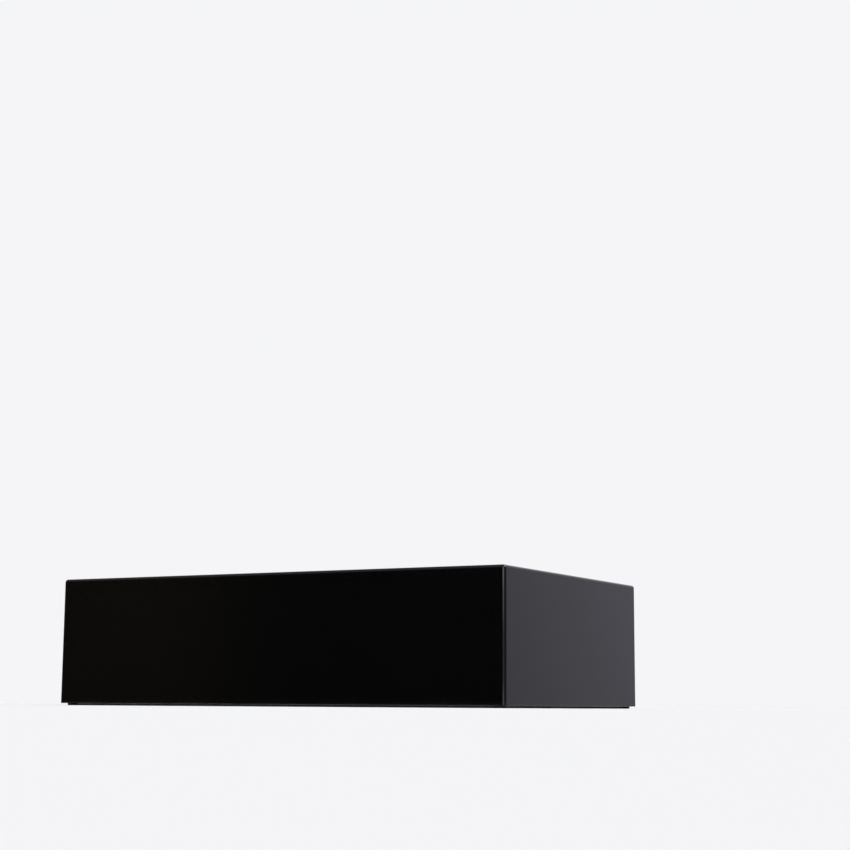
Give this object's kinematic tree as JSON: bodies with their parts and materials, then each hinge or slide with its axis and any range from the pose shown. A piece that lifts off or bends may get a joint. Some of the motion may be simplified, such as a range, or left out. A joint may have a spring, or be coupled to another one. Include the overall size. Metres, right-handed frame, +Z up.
{
  "type": "display plinth",
  "caption": "Low rectangular display plinth: mitred boards in polished black lacquer with softly rounded edges, on small round pads, with fixing holes through the top.",
  "frame": {"origin": "on the floor, under the centre of the plinth: the plane that the four pads' undersides stand on", "axes": "+X along the long side, to the right seen from the front; the front faces -Y; +Z up"},
  "size_m": [0.48, 0.3, 0.122],
  "materials": {
    "black_lacquer": "polished",
    "hardwood": "satin",
    "softwood": "matte",
    "plywood": "matte",
    "zinc_plate": "satin",
    "black_cover": "matte",
    "screw_steel": "satin",
    "pad_rubber": "matte"
  },
  "bodies": {
    "root": {"base_cover": "black_cover", "base_cover_screws": "screw_steel", "front_cleat": "softwood", "front_left_block": "softwood", "front_left_foot_pad": "pad_rubber", "front_left_tongue": "hardwood", "front_panel": "black_lacquer", "front_right_block": "softwood", "front_right_foot_pad": "pad_rubber", "front_right_tongue": "hardwood", "front_top_tongue": "hardwood", "left_cleat": "softwood", "left_panel": "black_lacquer", "left_rib": "plywood", "left_top_tongue": "hardwood", "mounting_board": "plywood", "mounting_board_screws": "screw_steel", "rear_cleat": "softwood", "rear_left_block": "softwood", "rear_left_foot_pad": "pad_rubber", "rear_left_tongue": "hardwood", "rear_panel": "black_lacquer", "rear_right_block": "softwood", "rear_right_foot_pad": "pad_rubber", "rear_right_tongue": "hardwood", "rear_top_tongue": "hardwood", "right_cleat": "softwood", "right_panel": "black_lacquer", "right_rib": "plywood", "right_top_tongue": "hardwood", "spreader_plate": "zinc_plate", "spreader_plate_screws": "screw_steel", "top_panel": "black_lacquer"}
  },
  "joints": []
}
